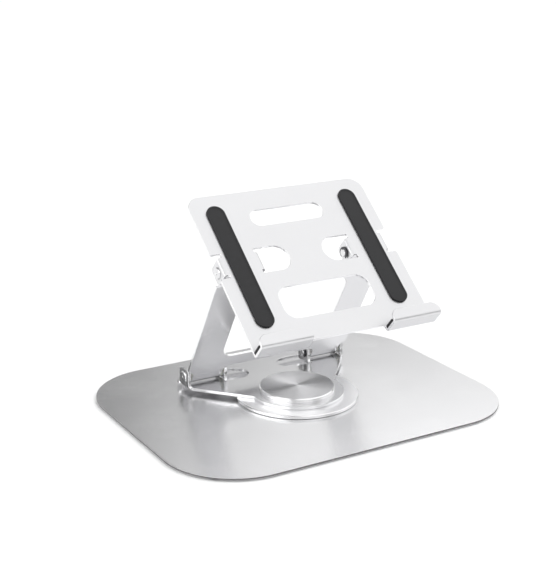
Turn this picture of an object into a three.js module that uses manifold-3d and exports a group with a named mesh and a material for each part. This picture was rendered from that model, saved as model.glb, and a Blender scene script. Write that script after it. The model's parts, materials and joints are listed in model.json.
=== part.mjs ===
// A rotating tablet stand: a flat base with a turntable, a hinged arm, and a tilting support plate
// with two hooks. Millimetres, +Z up, +X to the right of the person using it, -Y towards them.
// The origin is on the table, under the middle of the base.
import * as THREE from 'three';
import { mergeVertices } from 'three/addons/utils/BufferGeometryUtils.js';
import Module from 'manifold-3d';

const wasm = await Module();
wasm.setup();

// ---- driving dimensions -------------------------------------------------------------------------
const FULL_TURN = Math.PI * 2;

// base plate and its feet
const BASE_WIDTH = 267;
const BASE_DEPTH = 208;
const BASE_CORNER = 53;
const BASE_THICKNESS = 1.6;
const BASE_CHAMFER = 0.3;
const FOOT_HEIGHT = 1.5;
const FOOT_RADIUS = 10;
const FOOT_INSET = 24;
const BASE_TOP = FOOT_HEIGHT + BASE_THICKNESS;

// turntable, stacked on the base around the central stud
const DISC_RADIUS = 45.6;
const DISC_LIFT = 0.2;
const DISC_TOP = 5.8;
const DISC_CHAMFER = 0.5;
const SLIP_RING = { inner: 28, outer: 40, height: 1 };
const SLIP_RING_PLAY = 0.3;
const SLIP_RING_HEADROOM = 0.05;
const STUD_RADIUS = 6;
const STUD_TOP = 10;
const STUD_FLANGE = { radius: 13, thickness: 0.9 };
const STUD_CLEARANCE = 0.1;
const WASHER_RADIUS = 12;
const WASHER_THICKNESS = 0.5;
const STACK_PLAY = 0.05;
const NUT_ACROSS_CORNERS = 18.4;
const KNOB = { radius: 27.8, topRadius: 27.2, top: 11.35, bead: 10.5, bore: 24.5, ceiling: 10.35 };
const SCREW = { circle: 19, head: 3, shank: 1.5, headDepth: 1.5, length: 4, clearance: 0.1 };
const SCREW_COUNT = 3;

// lower bracket: a sheet with a round front, straight flanks and four upright ears
const SHEET = 2.3;
const BRACKET_TOP = DISC_TOP + SHEET;
const BRACKET_FRONT_RADIUS = 34.8;
const BRACKET_NECK_ANGLE = 5.5 * Math.PI / 180;
const BRACKET_BACK = 66;
const BRACKET_BACK_CORNER = 8;

// the ears and hinge knuckles, which both hinges share
const EAR = { outer: 68.35, inner: 38.15, halfDepth: 7.3, height: 12.4, corner: 3 };
const PIN_OFFSET = 6.3;
const PIN_RADIUS = 2.95;
const PIN_HOLE = 3;
const PIN_HEAD = { radius: 4.2, thickness: 0.8 };
const PIN_TAIL = 1.6;
const PIN_PLAY = 0.05;
const PIN_TIP = 0.4;
const RING_HOLE = PIN_HOLE + 0.1;
const CLIP = { radius: 4.4, thickness: 0.6, gap: 0.3 };
const KNUCKLE_RADIUS = 5.2;
const KNUCKLE_GAP = 1.8;
const HINGE_WASHER = { radius: 5, thickness: 1.5 };
const LOWER_PIN_Y = 49;
const LOWER_PIN_Z = BRACKET_TOP + PIN_OFFSET;

// holes with one round end, left where the inner ears are bent up out of their sheet
const EAR_HOLE = { inner: 14, outer: EAR.inner - SHEET, halfDepth: 10.3 };
const LOWER_EAR_HOLE_Y = LOWER_PIN_Y + 1;

// arm: one sheet whose corners are rolled into knuckles
const ARM_SHEET = 2.2;
const ARM_HALF_WIDTH = 69.3;
const ARM_SHOULDER = 9.2;
const ARM_FILLET = 4.5;
const ARM_CORNER = 0.5;
const ARM_WINDOW = { halfWidth: 45, margin: 20, corner: 11 };

// holder: the support plate, leaning back, with two hooks on its lower edge
const TILT = THREE.MathUtils.degToRad(40);
const HOLDER_Y = -56.8;
const HOLDER_Z = 69.4;
const PLATE_SHEET = 2;
const PLATE_BACK = 3;
const PLATE_FRONT = PLATE_BACK + PLATE_SHEET;
const PLATE_TOP = 124;
const PLATE_BOTTOM = -3.2;
const PLATE_HALF_WIDTH = 73.1;
const PLATE_CORNER = 11;
const PLATE_NOTCH_HALF = 10;
const PLATE_PIN_S = 65;
const PLATE_WINDOW = { halfWidth: 37, low: 15, high: 41, corner: 9 };
const PLATE_SLOT = { halfWidth: 30, low: 93, high: 107, corner: 6.9 };
const HOOK = { inner: 32.7, outer: 73.1, under: -8.1, front: 17.5, lipTop: 1.5, bend: 2.5, lipCorner: 6.5 };
const PAD_GAP = 0.3;
const PLATE_PAD = { x: 55, halfWidth: 7, low: 12, high: 114, thickness: 1.2 };
const PAD_END_FLAT = 0.2;
const SHELF_PAD_THICKNESS = 2;
const LIP_PAD_THICKNESS = 1;

// cutting tools run past the sheets that they cut, and right across the stand where they cut both sides
const OVERSHOOT = 1;
const CUT_HALF_WIDTH = 100;

// facets: round pieces get more of them the larger they are
const FINE = 48;
const MEDIUM = 24;
const SMALL = 16;
const ARC_STEPS = 4;

// ---- solids and shapes --------------------------------------------------------------------------
function toSolid(geometry) {
  const bare = geometry.index ? geometry.toNonIndexed() : geometry.clone();
  bare.deleteAttribute('normal');
  bare.deleteAttribute('uv');
  const merged = mergeVertices(bare, 1e-4);
  return new wasm.Manifold(new wasm.Mesh({
    numProp: 3,
    vertProperties: Float32Array.from(merged.attributes.position.array),
    triVerts: Uint32Array.from(merged.index.array),
  }));
}

function toGeometry(solid) {
  const mesh = solid.getMesh();
  const geometry = new THREE.BufferGeometry();
  geometry.setAttribute('position', new THREE.BufferAttribute(mesh.vertProperties, 3));
  geometry.setIndex(new THREE.BufferAttribute(mesh.triVerts, 1));
  return geometry;
}

function fuse(solids) {
  return solids.reduce((whole, solid) => whole.add(solid));
}

function cut(solid, tools) {
  return tools.reduce((rest, tool) => rest.subtract(tool), solid);
}

// a flat sheet lying in XY from z = low to z = high
function slab(shape, low, high, chamfer = 0) {
  return new THREE.ExtrudeGeometry(shape, {
    depth: high - low - 2 * chamfer,
    curveSegments: ARC_STEPS,
    bevelEnabled: chamfer > 0,
    bevelSize: chamfer,
    bevelThickness: chamfer,
    bevelOffset: -chamfer,
    bevelSegments: 1,
  }).translate(0, 0, low + chamfer);
}

// a sheet standing across X, drawn in (y, z), from x = low to x = high
function crosswise(shape, low, high) {
  const turn = new THREE.Matrix4().makeBasis(
    new THREE.Vector3(0, 1, 0), new THREE.Vector3(0, 0, 1), new THREE.Vector3(1, 0, 0));
  return slab(shape, low, high).applyMatrix4(turn);
}

function box(low, high) {
  const size = high.map((value, axis) => value - low[axis]);
  const middle = high.map((value, axis) => (value + low[axis]) / 2);
  return new THREE.BoxGeometry(...size).translate(...middle);
}

// a solid of revolution about Z from a (radius, height) profile, which closes on itself off the axis
function turned(profile, segments) {
  const touchesAxis = profile[0][0] === 0;
  const outline = touchesAxis ? profile : [...profile, profile[0]];
  const points = outline.map(([radius, height]) => new THREE.Vector2(radius, height));
  return new THREE.LatheGeometry(points, segments).rotateX(Math.PI / 2);
}

function ring(inner, outer, low, high, segments) {
  return turned([[inner, low], [outer, low], [outer, high], [inner, high]], segments);
}

function rod(radius, low, high, segments) {
  const length = high - low;
  return new THREE.CylinderGeometry(radius, radius, length, segments)
    .rotateX(Math.PI / 2).translate(0, 0, low + length / 2);
}

// turns something built about Z so that it lies about X
function alongX(geometry) {
  return geometry.rotateY(Math.PI / 2);
}

function roundedRectangle(left, bottom, right, top, radius) {
  const shape = new THREE.Shape();
  shape.moveTo(left + radius, bottom);
  shape.lineTo(right - radius, bottom);
  shape.absarc(right - radius, bottom + radius, radius, -Math.PI / 2, 0);
  shape.lineTo(right, top - radius);
  shape.absarc(right - radius, top - radius, radius, 0, Math.PI / 2);
  shape.lineTo(left + radius, top);
  shape.absarc(left + radius, top - radius, radius, Math.PI / 2, Math.PI);
  shape.lineTo(left, bottom + radius);
  shape.absarc(left + radius, bottom + radius, radius, Math.PI, Math.PI * 1.5);
  return shape;
}

// ---- base ---------------------------------------------------------------------------------------
function basePlate() {
  const x = BASE_WIDTH / 2;
  const y = BASE_DEPTH / 2;
  const outline = roundedRectangle(-x, -y, x, y, BASE_CORNER);
  const plate = toSolid(slab(outline, FOOT_HEIGHT, BASE_TOP, BASE_CHAMFER));
  const hole = toSolid(rod(STUD_RADIUS + STUD_CLEARANCE, 0, STUD_TOP, FINE));
  return toGeometry(plate.subtract(hole));
}

function foot() {
  return rod(FOOT_RADIUS, 0, FOOT_HEIGHT, MEDIUM);
}

function pivotStud() {
  const flangeBottom = FOOT_HEIGHT - STUD_FLANGE.thickness;
  return turned([[0, flangeBottom], [STUD_FLANGE.radius, flangeBottom], [STUD_FLANGE.radius, FOOT_HEIGHT],
    [STUD_RADIUS, FOOT_HEIGHT], [STUD_RADIUS, STUD_TOP], [0, STUD_TOP]], FINE);
}

function slipRing() {
  return ring(SLIP_RING.inner, SLIP_RING.outer, BASE_TOP, BASE_TOP + SLIP_RING.height, FINE);
}

// ---- turntable ----------------------------------------------------------------------------------
function turntableDisc() {
  const bottom = BASE_TOP + DISC_LIFT;
  const roof = BASE_TOP + SLIP_RING.height + SLIP_RING_HEADROOM;
  const bore = STUD_RADIUS + STUD_CLEARANCE;
  const grooveInner = SLIP_RING.inner - SLIP_RING_PLAY;
  const grooveOuter = SLIP_RING.outer + SLIP_RING_PLAY;
  const disc = turned([[bore, bottom], [grooveInner, bottom], [grooveInner, roof], [grooveOuter, roof],
    [grooveOuter, bottom], [DISC_RADIUS, bottom], [DISC_RADIUS, DISC_TOP - DISC_CHAMFER],
    [DISC_RADIUS - DISC_CHAMFER, DISC_TOP], [bore, DISC_TOP]], FINE);
  return toGeometry(cut(toSolid(disc), screwPlaces().map(([x, y]) => toSolid(
    rod(SCREW.shank + SCREW.clearance, 0, DISC_TOP + OVERSHOOT, SMALL).translate(x, y, 0)))));
}

function screwPlaces() {
  return Array.from({ length: SCREW_COUNT }, (unused, index) => {
    const angle = Math.PI / 2 + index * FULL_TURN / SCREW_COUNT;
    return [SCREW.circle * Math.cos(angle), SCREW.circle * Math.sin(angle)];
  });
}

function countersunkScrew(grow = 0) {
  const top = BRACKET_TOP;
  return turned([[0, top - SCREW.length - grow], [SCREW.shank + grow, top - SCREW.length - grow],
    [SCREW.shank + grow, top - SCREW.headDepth], [SCREW.head + grow, top], [0, top]], SMALL);
}

// flanks run straight from the round front to the feet of the outer ears
function bracketOutline() {
  const side = EAR.outer;
  const shoulderY = LOWER_PIN_Y - EAR.halfDepth;
  const corner = BRACKET_BACK_CORNER;
  const shape = new THREE.Shape();
  const neck = BRACKET_NECK_ANGLE;
  shape.absarc(0, 0, BRACKET_FRONT_RADIUS, Math.PI - neck, FULL_TURN + neck, false);
  shape.lineTo(side, shoulderY);
  shape.absarc(side - corner, BRACKET_BACK - corner, corner, 0, Math.PI / 2);
  shape.absarc(-side + corner, BRACKET_BACK - corner, corner, Math.PI / 2, Math.PI);
  shape.lineTo(-side, shoulderY);
  return shape;
}

// one ear drawn in (y, z) about its pin; its foot is inside the sheet it grows from
function earShape() {
  const top = EAR.height - PIN_OFFSET;
  const foot = -PIN_OFFSET - SHEET;
  const half = EAR.halfDepth;
  const shape = new THREE.Shape();
  shape.moveTo(-half, foot);
  shape.lineTo(half, foot);
  shape.absarc(half - EAR.corner, top - EAR.corner, EAR.corner, 0, Math.PI / 2);
  shape.absarc(-half + EAR.corner, top - EAR.corner, EAR.corner, Math.PI / 2, Math.PI);
  return shape;
}

// the four ears, with their pin on the X axis and their feet below it
function ears(footThickness) {
  const spans = [[EAR.outer - SHEET, EAR.outer], [EAR.inner - SHEET, EAR.inner]];
  const pairs = spans.flatMap(([low, high]) => [[low, high], [-high, -low]]);
  const tall = pairs.map(([low, high]) => toSolid(crosswise(earShape(), low, high)));
  const reach = EAR.halfDepth + OVERSHOOT;
  const trim = toSolid(box([-CUT_HALF_WIDTH, -reach, -PIN_OFFSET - SHEET - OVERSHOOT],
    [CUT_HALF_WIDTH, reach, -PIN_OFFSET - footThickness]));
  const hole = toSolid(alongX(rod(PIN_HOLE, -CUT_HALF_WIDTH, CUT_HALF_WIDTH, MEDIUM)));
  return cut(fuse(tall), [trim, hole]);
}

// one hole per side, round towards the middle, square against the inner ear
function earHoles(centreY, low, high) {
  const half = EAR_HOLE.halfDepth;
  const round = EAR_HOLE.inner + half;
  const shape = new THREE.Shape();
  shape.moveTo(EAR_HOLE.outer, centreY - half);
  shape.lineTo(EAR_HOLE.outer, centreY + half);
  shape.absarc(round, centreY, half, Math.PI / 2, Math.PI * 1.5);
  const right = slab(shape, low, high);
  const left = right.clone().rotateZ(Math.PI).translate(0, 2 * centreY, 0);
  return [toSolid(right), toSolid(left)];
}

function lowerBracket() {
  const sheet = toSolid(slab(bracketOutline(), DISC_TOP, BRACKET_TOP));
  const uprights = ears(SHEET).translate([0, LOWER_PIN_Y, LOWER_PIN_Z]);
  const bore = toSolid(rod(STUD_RADIUS + STUD_CLEARANCE, 0, BRACKET_TOP + OVERSHOOT, FINE));
  const screws = screwPlaces().map(([x, y]) => toSolid(countersunkScrew(SCREW.clearance).translate(x, y, 0)));
  const holes = earHoles(LOWER_EAR_HOLE_Y, DISC_TOP - OVERSHOOT, BRACKET_TOP + OVERSHOOT);
  return toGeometry(cut(sheet, [bore, ...screws, ...holes]).add(uprights));
}

function springWasher() {
  const low = BRACKET_TOP + STACK_PLAY;
  return ring(STUD_RADIUS + STUD_CLEARANCE, WASHER_RADIUS, low, low + WASHER_THICKNESS, MEDIUM);
}

function pivotNut() {
  const low = BRACKET_TOP + WASHER_THICKNESS + 2 * STACK_PLAY;
  const body = toSolid(rod(NUT_ACROSS_CORNERS / 2, low, STUD_TOP, 6));
  return toGeometry(body.subtract(toSolid(rod(STUD_RADIUS + STUD_CLEARANCE, 0, STUD_TOP + OVERSHOOT, FINE))));
}

// a shallow cap, hollow underneath to clear the nut and the screws
function knobCap() {
  return turned([[0, KNOB.ceiling], [KNOB.bore, KNOB.ceiling], [KNOB.bore, BRACKET_TOP],
    [KNOB.radius, BRACKET_TOP], [KNOB.radius, KNOB.bead], [KNOB.topRadius, KNOB.top], [0, KNOB.top]], FINE);
}

// ---- hinges -------------------------------------------------------------------------------------
// a headed pin along X: head outside the outer ear, tail through the inner one
function hingePin() {
  const headInside = EAR.outer + PIN_PLAY;
  const tail = EAR.inner - SHEET - PIN_TAIL;
  const head = headInside + PIN_HEAD.thickness;
  return alongX(turned([[0, tail], [PIN_RADIUS - PIN_TIP, tail], [PIN_RADIUS, tail + PIN_TIP],
    [PIN_RADIUS, headInside], [PIN_HEAD.radius, headInside], [PIN_HEAD.radius, head], [0, head]], MEDIUM));
}

function pinClip() {
  const high = EAR.inner - SHEET - CLIP.gap;
  return alongX(ring(RING_HOLE, CLIP.radius, high - CLIP.thickness, high, SMALL));
}

function hingeWasher(low) {
  return alongX(ring(RING_HOLE, HINGE_WASHER.radius, low, low + HINGE_WASHER.thickness, SMALL));
}

// pin, clip and two washers on the right-hand side; the left-hand set is the same, turned about
function hingeSet(prefix) {
  const slack = (KNUCKLE_GAP - HINGE_WASHER.thickness) / 2;
  const pieces = {
    pin: [hingePin, polished],
    pin_clip: [pinClip, darkSteel],
    inner_washer: [() => hingeWasher(EAR.inner + slack), nylon],
    outer_washer: [() => hingeWasher(EAR.outer - SHEET - KNUCKLE_GAP + slack), nylon],
  };
  return Object.entries(pieces).flatMap(([name, [make, material]]) => [
    piece(`${prefix}_${name}_right`, make(), material),
    piece(`${prefix}_${name}_left`, make().rotateZ(Math.PI), material),
  ]);
}

// ---- arm ----------------------------------------------------------------------------------------
// drawn flat in (x, height above the lower pin), between the shoulders at either end
function armOutline(length) {
  const half = ARM_HALF_WIDTH;
  const tabOuter = EAR.outer - SHEET - KNUCKLE_GAP;
  const tabInner = EAR.inner + KNUCKLE_GAP;
  const fillet = ARM_FILLET;
  const low = ARM_SHOULDER;
  const high = length - ARM_SHOULDER;
  const quarter = Math.PI / 2;
  const shape = new THREE.Shape();
  shape.moveTo(half, low + ARM_CORNER);
  shape.lineTo(half, high - ARM_CORNER);
  shape.lineTo(half - ARM_CORNER, high);
  shape.absarc(tabOuter + fillet, high + fillet, fillet, -quarter, -Math.PI, true);
  shape.lineTo(tabOuter, length);
  shape.lineTo(tabInner, length);
  shape.absarc(tabInner - fillet, high + fillet, fillet, 0, -quarter, true);
  shape.absarc(-tabInner + fillet, high + fillet, fillet, -quarter, -Math.PI, true);
  shape.lineTo(-tabInner, length);
  shape.lineTo(-tabOuter, length);
  shape.absarc(-tabOuter - fillet, high + fillet, fillet, 0, -quarter, true);
  shape.lineTo(-half + ARM_CORNER, high);
  shape.lineTo(-half, high - ARM_CORNER);
  shape.lineTo(-half, low + ARM_CORNER);
  shape.lineTo(-half + ARM_CORNER, low);
  shape.absarc(-tabOuter - fillet, low - fillet, fillet, quarter, 0, true);
  shape.lineTo(-tabOuter, 0);
  shape.lineTo(-tabInner, 0);
  shape.absarc(-tabInner + fillet, low - fillet, fillet, Math.PI, quarter, true);
  shape.absarc(tabInner - fillet, low - fillet, fillet, quarter, 0, true);
  shape.lineTo(tabInner, 0);
  shape.lineTo(tabOuter, 0);
  shape.absarc(tabOuter + fillet, low - fillet, fillet, Math.PI, quarter, true);
  shape.lineTo(half - ARM_CORNER, low);
  const { halfWidth, margin, corner } = ARM_WINDOW;
  shape.holes.push(roundedRectangle(-halfWidth, margin, halfWidth, length - margin, corner));
  return shape;
}

// the sheet lies in front of the pins (towards -Y) and rolls back around them
function armPlate(length) {
  const sheet = slab(armOutline(length), 0, ARM_SHEET).rotateX(Math.PI / 2);
  sheet.translate(0, ARM_SHEET - KNUCKLE_RADIUS, 0);
  const low = EAR.inner + KNUCKLE_GAP;
  const high = EAR.outer - SHEET - KNUCKLE_GAP;
  const ends = [[0, 0, 0], [0, 0, length]];
  const knuckles = ends.flatMap((place) => [[low, high], [-high, -low]].map(([from, to]) =>
    toSolid(alongX(rod(KNUCKLE_RADIUS, from, to, MEDIUM)).translate(...place))));
  const bores = ends.map((place) => toSolid(
    alongX(rod(PIN_HOLE, -CUT_HALF_WIDTH, CUT_HALF_WIDTH, MEDIUM)).translate(...place)));
  return toGeometry(cut(fuse([toSolid(sheet), ...knuckles]), bores));
}

// ---- holder -------------------------------------------------------------------------------------
// drawn in the plate's own axes: x across, y up the slope, z out of its front
function plateOutline() {
  const shape = new THREE.Shape();
  const half = PLATE_HALF_WIDTH;
  const corner = PLATE_CORNER;
  const hookTop = HOOK.under + HOOK.bend;
  shape.moveTo(HOOK.outer, hookTop);
  shape.lineTo(half, PLATE_PIN_S - PLATE_NOTCH_HALF);
  shape.lineTo(EAR.outer, PLATE_PIN_S - PLATE_NOTCH_HALF);
  shape.lineTo(EAR.outer, PLATE_PIN_S + PLATE_NOTCH_HALF);
  shape.lineTo(half, PLATE_PIN_S + PLATE_NOTCH_HALF);
  shape.absarc(half - corner, PLATE_TOP - corner, corner, 0, Math.PI / 2);
  shape.absarc(-half + corner, PLATE_TOP - corner, corner, Math.PI / 2, Math.PI);
  shape.lineTo(-half, PLATE_PIN_S + PLATE_NOTCH_HALF);
  shape.lineTo(-EAR.outer, PLATE_PIN_S + PLATE_NOTCH_HALF);
  shape.lineTo(-EAR.outer, PLATE_PIN_S - PLATE_NOTCH_HALF);
  shape.lineTo(-half, PLATE_PIN_S - PLATE_NOTCH_HALF);
  shape.lineTo(-HOOK.outer, hookTop);
  shape.lineTo(-HOOK.inner, hookTop);
  shape.lineTo(-HOOK.inner, PLATE_BOTTOM);
  shape.lineTo(HOOK.inner, PLATE_BOTTOM);
  shape.lineTo(HOOK.inner, hookTop);
  for (const { halfWidth, low, high, corner: holeCorner } of [PLATE_WINDOW, PLATE_SLOT]) {
    shape.holes.push(roundedRectangle(-halfWidth, low, halfWidth, high, holeCorner));
  }
  return shape;
}

// side view of a hook below its lip: down from the plate, along the shelf and up again
function hookProfile() {
  const { under, front, bend } = HOOK;
  const inside = bend - PLATE_SHEET;
  const rise = under + bend;
  const quarter = Math.PI / 2;
  const shape = new THREE.Shape();
  shape.moveTo(rise, PLATE_BACK);
  shape.absarc(rise, PLATE_BACK + bend, bend, -quarter, -Math.PI, true);
  shape.absarc(rise, front - bend, bend, Math.PI, quarter, true);
  shape.lineTo(rise, front - PLATE_SHEET);
  shape.absarc(rise, front - bend, inside, quarter, Math.PI, false);
  shape.absarc(rise, PLATE_BACK + bend, inside, Math.PI, Math.PI * 1.5, false);
  return shape;
}

function hook(side) {
  const low = side > 0 ? HOOK.inner : -HOOK.outer;
  const high = side > 0 ? HOOK.outer : -HOOK.inner;
  const bends = toSolid(crosswise(hookProfile(), low, high));
  const rise = HOOK.under + HOOK.bend;
  const lip = new THREE.Shape();
  lip.moveTo(low, rise);
  lip.lineTo(high, rise);
  lip.absarc(high - HOOK.lipCorner, HOOK.lipTop - HOOK.lipCorner, HOOK.lipCorner, 0, Math.PI / 2);
  lip.absarc(low + HOOK.lipCorner, HOOK.lipTop - HOOK.lipCorner, HOOK.lipCorner, Math.PI / 2, Math.PI);
  return bends.add(toSolid(slab(lip, HOOK.front - PLATE_SHEET, HOOK.front)));
}

function supportPlate() {
  const sheet = toSolid(slab(plateOutline(), PLATE_BACK, PLATE_FRONT));
  const backwards = ears(PLATE_SHEET).rotate([180, 0, 0])
    .translate([0, PLATE_PIN_S, PLATE_BACK - PIN_OFFSET]);
  const holes = earHoles(PLATE_PIN_S, PLATE_BACK - OVERSHOOT, PLATE_FRONT + OVERSHOOT);
  return toGeometry(fuse([cut(sheet, holes), backwards, hook(1), hook(-1)]));
}

function platePad() {
  const { halfWidth, low, high, thickness } = PLATE_PAD;
  const outline = roundedRectangle(-halfWidth, low, halfWidth, high, halfWidth - PAD_END_FLAT);
  return slab(outline, PLATE_FRONT + PAD_GAP, PLATE_FRONT + PAD_GAP + thickness);
}

function shelfPad() {
  const floor = HOOK.under + PLATE_SHEET + PAD_GAP;
  const front = HOOK.front - PLATE_SHEET - LIP_PAD_THICKNESS - 2 * PAD_GAP;
  return box([HOOK.inner, floor, PLATE_FRONT + PAD_GAP], [HOOK.outer, floor + SHELF_PAD_THICKNESS, front]);
}

function lipPad() {
  const back = HOOK.front - PLATE_SHEET - PAD_GAP - LIP_PAD_THICKNESS;
  const floor = HOOK.under + PLATE_SHEET + PAD_GAP;
  const inset = HOOK.lipCorner / 2;
  const high = [HOOK.outer - inset, HOOK.lipTop - 1, back + LIP_PAD_THICKNESS];
  return box([HOOK.inner + inset, floor, back], high);
}

// ---- materials and assembly ---------------------------------------------------------------------
function finish(color, roughness, metalness) {
  return new THREE.MeshStandardMaterial({ color, roughness, metalness });
}

const satinSteel = finish(0xc6c4ca, 0.4, 1);
const sheetMetal = finish(0xb9bbbb, 0.25, 1);
const whiteMetal = finish(0xe4e6e8, 0.35, 1);
const polished = finish(0xe2e3e4, 0.12, 1);
const darkSteel = finish(0x4a4b4d, 0.4, 1);
const nylon = finish(0xe8e6df, 0.6, 0);
const silicone = finish(0x1b1b1c, 0.75, 0);

function piece(name, geometry, material) {
  const mesh = new THREE.Mesh(geometry, material);
  mesh.name = name;
  return mesh;
}

function feet() {
  const x = BASE_WIDTH / 2 - FOOT_INSET;
  const y = BASE_DEPTH / 2 - FOOT_INSET;
  const places = { front_left: [-x, -y], front_right: [x, -y], rear_left: [-x, y], rear_right: [x, y] };
  return Object.entries(places).map(([name, [footX, footY]]) => {
    const mesh = piece(`foot_${name}`, foot(), silicone);
    mesh.position.set(footX, footY, 0);
    return mesh;
  });
}

function bracketScrews() {
  return screwPlaces().map(([x, y], index) => {
    const mesh = piece(`bracket_screw_${index + 1}`, countersunkScrew(), darkSteel);
    mesh.position.set(x, y, 0);
    return mesh;
  });
}

function baseAndTurntable() {
  const group = new THREE.Group();
  group.add(piece('base_plate', basePlate(), satinSteel));
  group.add(...feet());
  group.add(piece('pivot_stud', pivotStud(), darkSteel));
  group.add(piece('slip_ring', slipRing(), nylon));
  group.add(piece('turntable_disc', turntableDisc(), polished));
  group.add(piece('lower_bracket', lowerBracket(), sheetMetal));
  group.add(...bracketScrews());
  group.add(piece('spring_washer', springWasher(), darkSteel));
  group.add(piece('pivot_nut', pivotNut(), darkSteel));
  group.add(piece('knob_cap', knobCap(), polished));
  return group;
}

function hingeGroup(prefix) {
  const group = new THREE.Group();
  group.add(...hingeSet(prefix));
  return group;
}

function holderGroup() {
  const group = new THREE.Group();
  group.position.set(0, HOLDER_Y, HOLDER_Z);
  group.rotation.x = TILT;
  group.add(piece('support_plate', supportPlate(), whiteMetal));
  for (const [side, turn] of [['right', 1], ['left', -1]]) {
    const pad = piece(`plate_pad_${side}`, platePad(), silicone);
    pad.position.x = turn * PLATE_PAD.x;
    group.add(pad);
    const shift = turn > 0 ? 0 : -(HOOK.inner + HOOK.outer);
    group.add(piece(`shelf_pad_${side}`, shelfPad().translate(shift, 0, 0), silicone));
    group.add(piece(`lip_pad_${side}`, lipPad().translate(shift, 0, 0), silicone));
  }
  const upperHinge = hingeGroup('upper');
  upperHinge.position.set(0, PLATE_PIN_S, PLATE_BACK - PIN_OFFSET);
  group.add(upperHinge);
  return group;
}

// the arm reaches from the lower pin to wherever the holder's pin is
function armGroup() {
  const pinDepth = PLATE_BACK - PIN_OFFSET;
  const upperY = HOLDER_Y + PLATE_PIN_S * Math.cos(TILT) - pinDepth * Math.sin(TILT);
  const upperZ = HOLDER_Z + PLATE_PIN_S * Math.sin(TILT) + pinDepth * Math.cos(TILT);
  const length = Math.hypot(upperY - LOWER_PIN_Y, upperZ - LOWER_PIN_Z);
  const group = new THREE.Group();
  group.position.set(0, LOWER_PIN_Y, LOWER_PIN_Z);
  group.rotation.x = Math.atan2(LOWER_PIN_Y - upperY, upperZ - LOWER_PIN_Z);
  group.add(piece('arm_plate', armPlate(length), sheetMetal));
  return group;
}

const group = new THREE.Group();
group.add(baseAndTurntable());
const lowerHinge = hingeGroup('lower');
lowerHinge.position.set(0, LOWER_PIN_Y, LOWER_PIN_Z);
group.add(lowerHinge, armGroup(), holderGroup());

export default group;
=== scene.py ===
"""A rotating tablet stand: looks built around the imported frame. Metres, +Z up, -Y towards the user.

The sheet-metal parts are made as a workshop makes them. A flat pattern is cut out, its edges are
chamfered, and its tongues are then folded into ears and hooks or rolled into hinge knuckles.
"""
import json
import math

import bmesh
import bpy
from mathutils import Matrix, Vector
from mathutils.geometry import tessellate_polygon


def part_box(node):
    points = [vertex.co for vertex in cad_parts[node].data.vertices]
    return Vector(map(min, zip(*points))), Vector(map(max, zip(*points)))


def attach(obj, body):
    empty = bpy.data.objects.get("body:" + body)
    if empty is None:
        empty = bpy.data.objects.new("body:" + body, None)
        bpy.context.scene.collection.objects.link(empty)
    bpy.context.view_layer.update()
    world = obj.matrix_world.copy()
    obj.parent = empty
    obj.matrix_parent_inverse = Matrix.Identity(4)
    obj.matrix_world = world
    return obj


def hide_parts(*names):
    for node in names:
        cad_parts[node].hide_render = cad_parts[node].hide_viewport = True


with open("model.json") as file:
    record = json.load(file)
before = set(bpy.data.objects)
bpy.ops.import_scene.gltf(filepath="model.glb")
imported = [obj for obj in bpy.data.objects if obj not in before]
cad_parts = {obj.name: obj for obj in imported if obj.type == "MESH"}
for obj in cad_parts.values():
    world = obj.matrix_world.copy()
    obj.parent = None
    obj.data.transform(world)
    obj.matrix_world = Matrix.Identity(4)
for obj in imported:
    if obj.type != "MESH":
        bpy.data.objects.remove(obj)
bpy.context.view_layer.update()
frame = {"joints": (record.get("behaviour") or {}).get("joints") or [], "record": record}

MM = 0.001
SIDES = {"right": 1, "left": -1}

# ---- places and sizes that the frame states -------------------------------------------------------
JOINTS = {joint["name"]: joint for joint in frame["joints"]}
MOUNTS = {mount["name"]: mount for mount in frame["record"]["mounts"]}
LOWER_PIN = Vector(JOINTS["arm_hinge"]["pos_m"])
UPPER_PIN = Vector(JOINTS["holder_tilt"]["pos_m"])
PLATE_NORMAL = Vector(MOUNTS["tablet_face_left"]["axis"]).normalized()
BASE_LOW, BASE_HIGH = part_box("base_plate")
FOOT_LOW, FOOT_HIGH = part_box("foot_front_left")
DISC_LOW, DISC_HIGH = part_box("turntable_disc")
KNOB_LOW, KNOB_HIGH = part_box("knob_cap")
STUD_LOW, STUD_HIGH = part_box("pivot_stud")
RING_LOW, RING_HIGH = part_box("slip_ring")
WASHER_LOW, WASHER_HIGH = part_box("spring_washer")
NUT_LOW, NUT_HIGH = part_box("pivot_nut")
SCREW_LOW, SCREW_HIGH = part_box("bracket_screw_1")
LOWER_PIN_LOW, LOWER_PIN_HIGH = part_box("lower_pin_right")
CLIP_LOW, CLIP_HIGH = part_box("lower_pin_clip_right")
HINGE_WASHER_LOW, HINGE_WASHER_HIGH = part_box("lower_inner_washer_right")

FEET = ("foot_front_left", "foot_front_right", "foot_rear_left", "foot_rear_right")
BRACKET_SCREWS = ("bracket_screw_1", "bracket_screw_2", "bracket_screw_3")


def middle_of(node):
    """The middle of a node's box, from above."""
    low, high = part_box(node)
    return (low.x + high.x) / 2, (low.y + high.y) / 2


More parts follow.
